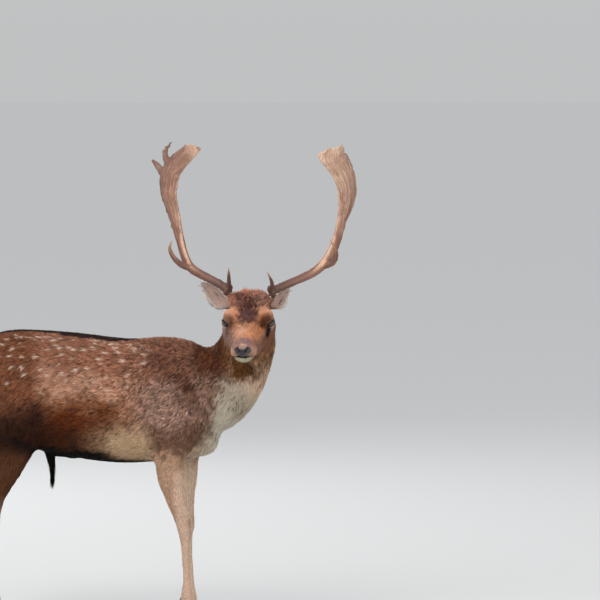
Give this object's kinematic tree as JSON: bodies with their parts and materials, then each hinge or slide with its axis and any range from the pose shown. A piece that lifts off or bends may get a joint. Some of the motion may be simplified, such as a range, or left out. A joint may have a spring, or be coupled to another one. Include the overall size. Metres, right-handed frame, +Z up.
{
  "type": "fallow deer",
  "caption": "Standing fallow buck in summer coat with spotted flanks and palmate antlers, its head turned to its right.",
  "frame": {"origin": "on the ground under the middle of the whole animal, antlers and tail included", "axes": "+Z up, +X the way the body faces, +Y towards the animal's left side"},
  "size_m": [1.2748, 0.5842, 1.451],
  "materials": {
    "coat": "short chestnut fur with pale spots, dark along the spine",
    "pale_coat": "short flat buff fur",
    "dark_coat": "long nearly black hair",
    "ear": "thin pinkish grey fur, white at the rim",
    "antler": "fluted hard antler, brown with paler ridges",
    "horn": "dark worn hoof horn",
    "nose": "damp black grained skin",
    "eye": "wet dark brown"
  },
  "bodies": {
    "root": {"ear_right": "ear", "ear_left": "ear", "antler_right_brow_tine": "antler", "antler_right_trez_tine": "antler", "antler_right_palm": "antler", "antler_right_beam": "antler", "antler_left_brow_tine": "antler", "antler_left_trez_tine": "antler", "antler_left_palm": "antler", "antler_left_beam": "antler", "tail": "coat", "belly_tuft": "dark_coat", "foreleg_right_claw_outer": "horn", "foreleg_right_dewclaw_outer": "horn", "foreleg_right_claw_inner": "horn", "foreleg_right_dewclaw_inner": "horn", "foreleg_right_pastern": "pale_coat", "foreleg_right_cannon": "pale_coat", "foreleg_right_forearm": "pale_coat", "foreleg_left_claw_outer": "horn", "foreleg_left_dewclaw_outer": "horn", "foreleg_left_claw_inner": "horn", "foreleg_left_dewclaw_inner": "horn", "foreleg_left_pastern": "pale_coat", "foreleg_left_cannon": "pale_coat", "foreleg_left_forearm": "pale_coat", "hindleg_right_claw_outer": "horn", "hindleg_right_dewclaw_outer": "horn", "hindleg_right_claw_inner": "horn", "hindleg_right_dewclaw_inner": "horn", "hindleg_right_pastern": "pale_coat", "hindleg_right_cannon": "pale_coat", "hindleg_right_gaskin": "pale_coat", "hindleg_left_claw_outer": "horn", "hindleg_left_dewclaw_outer": "horn", "hindleg_left_claw_inner": "horn", "hindleg_left_dewclaw_inner": "horn", "hindleg_left_pastern": "pale_coat", "hindleg_left_cannon": "pale_coat", "hindleg_left_gaskin": "pale_coat", "eye_right": "eye", "eye_left": "eye", "nose_pad": "nose", "head": "coat", "neck": "coat", "chest": "coat", "haunches": "coat", "belly": "coat"}
  },
  "joints": []
}
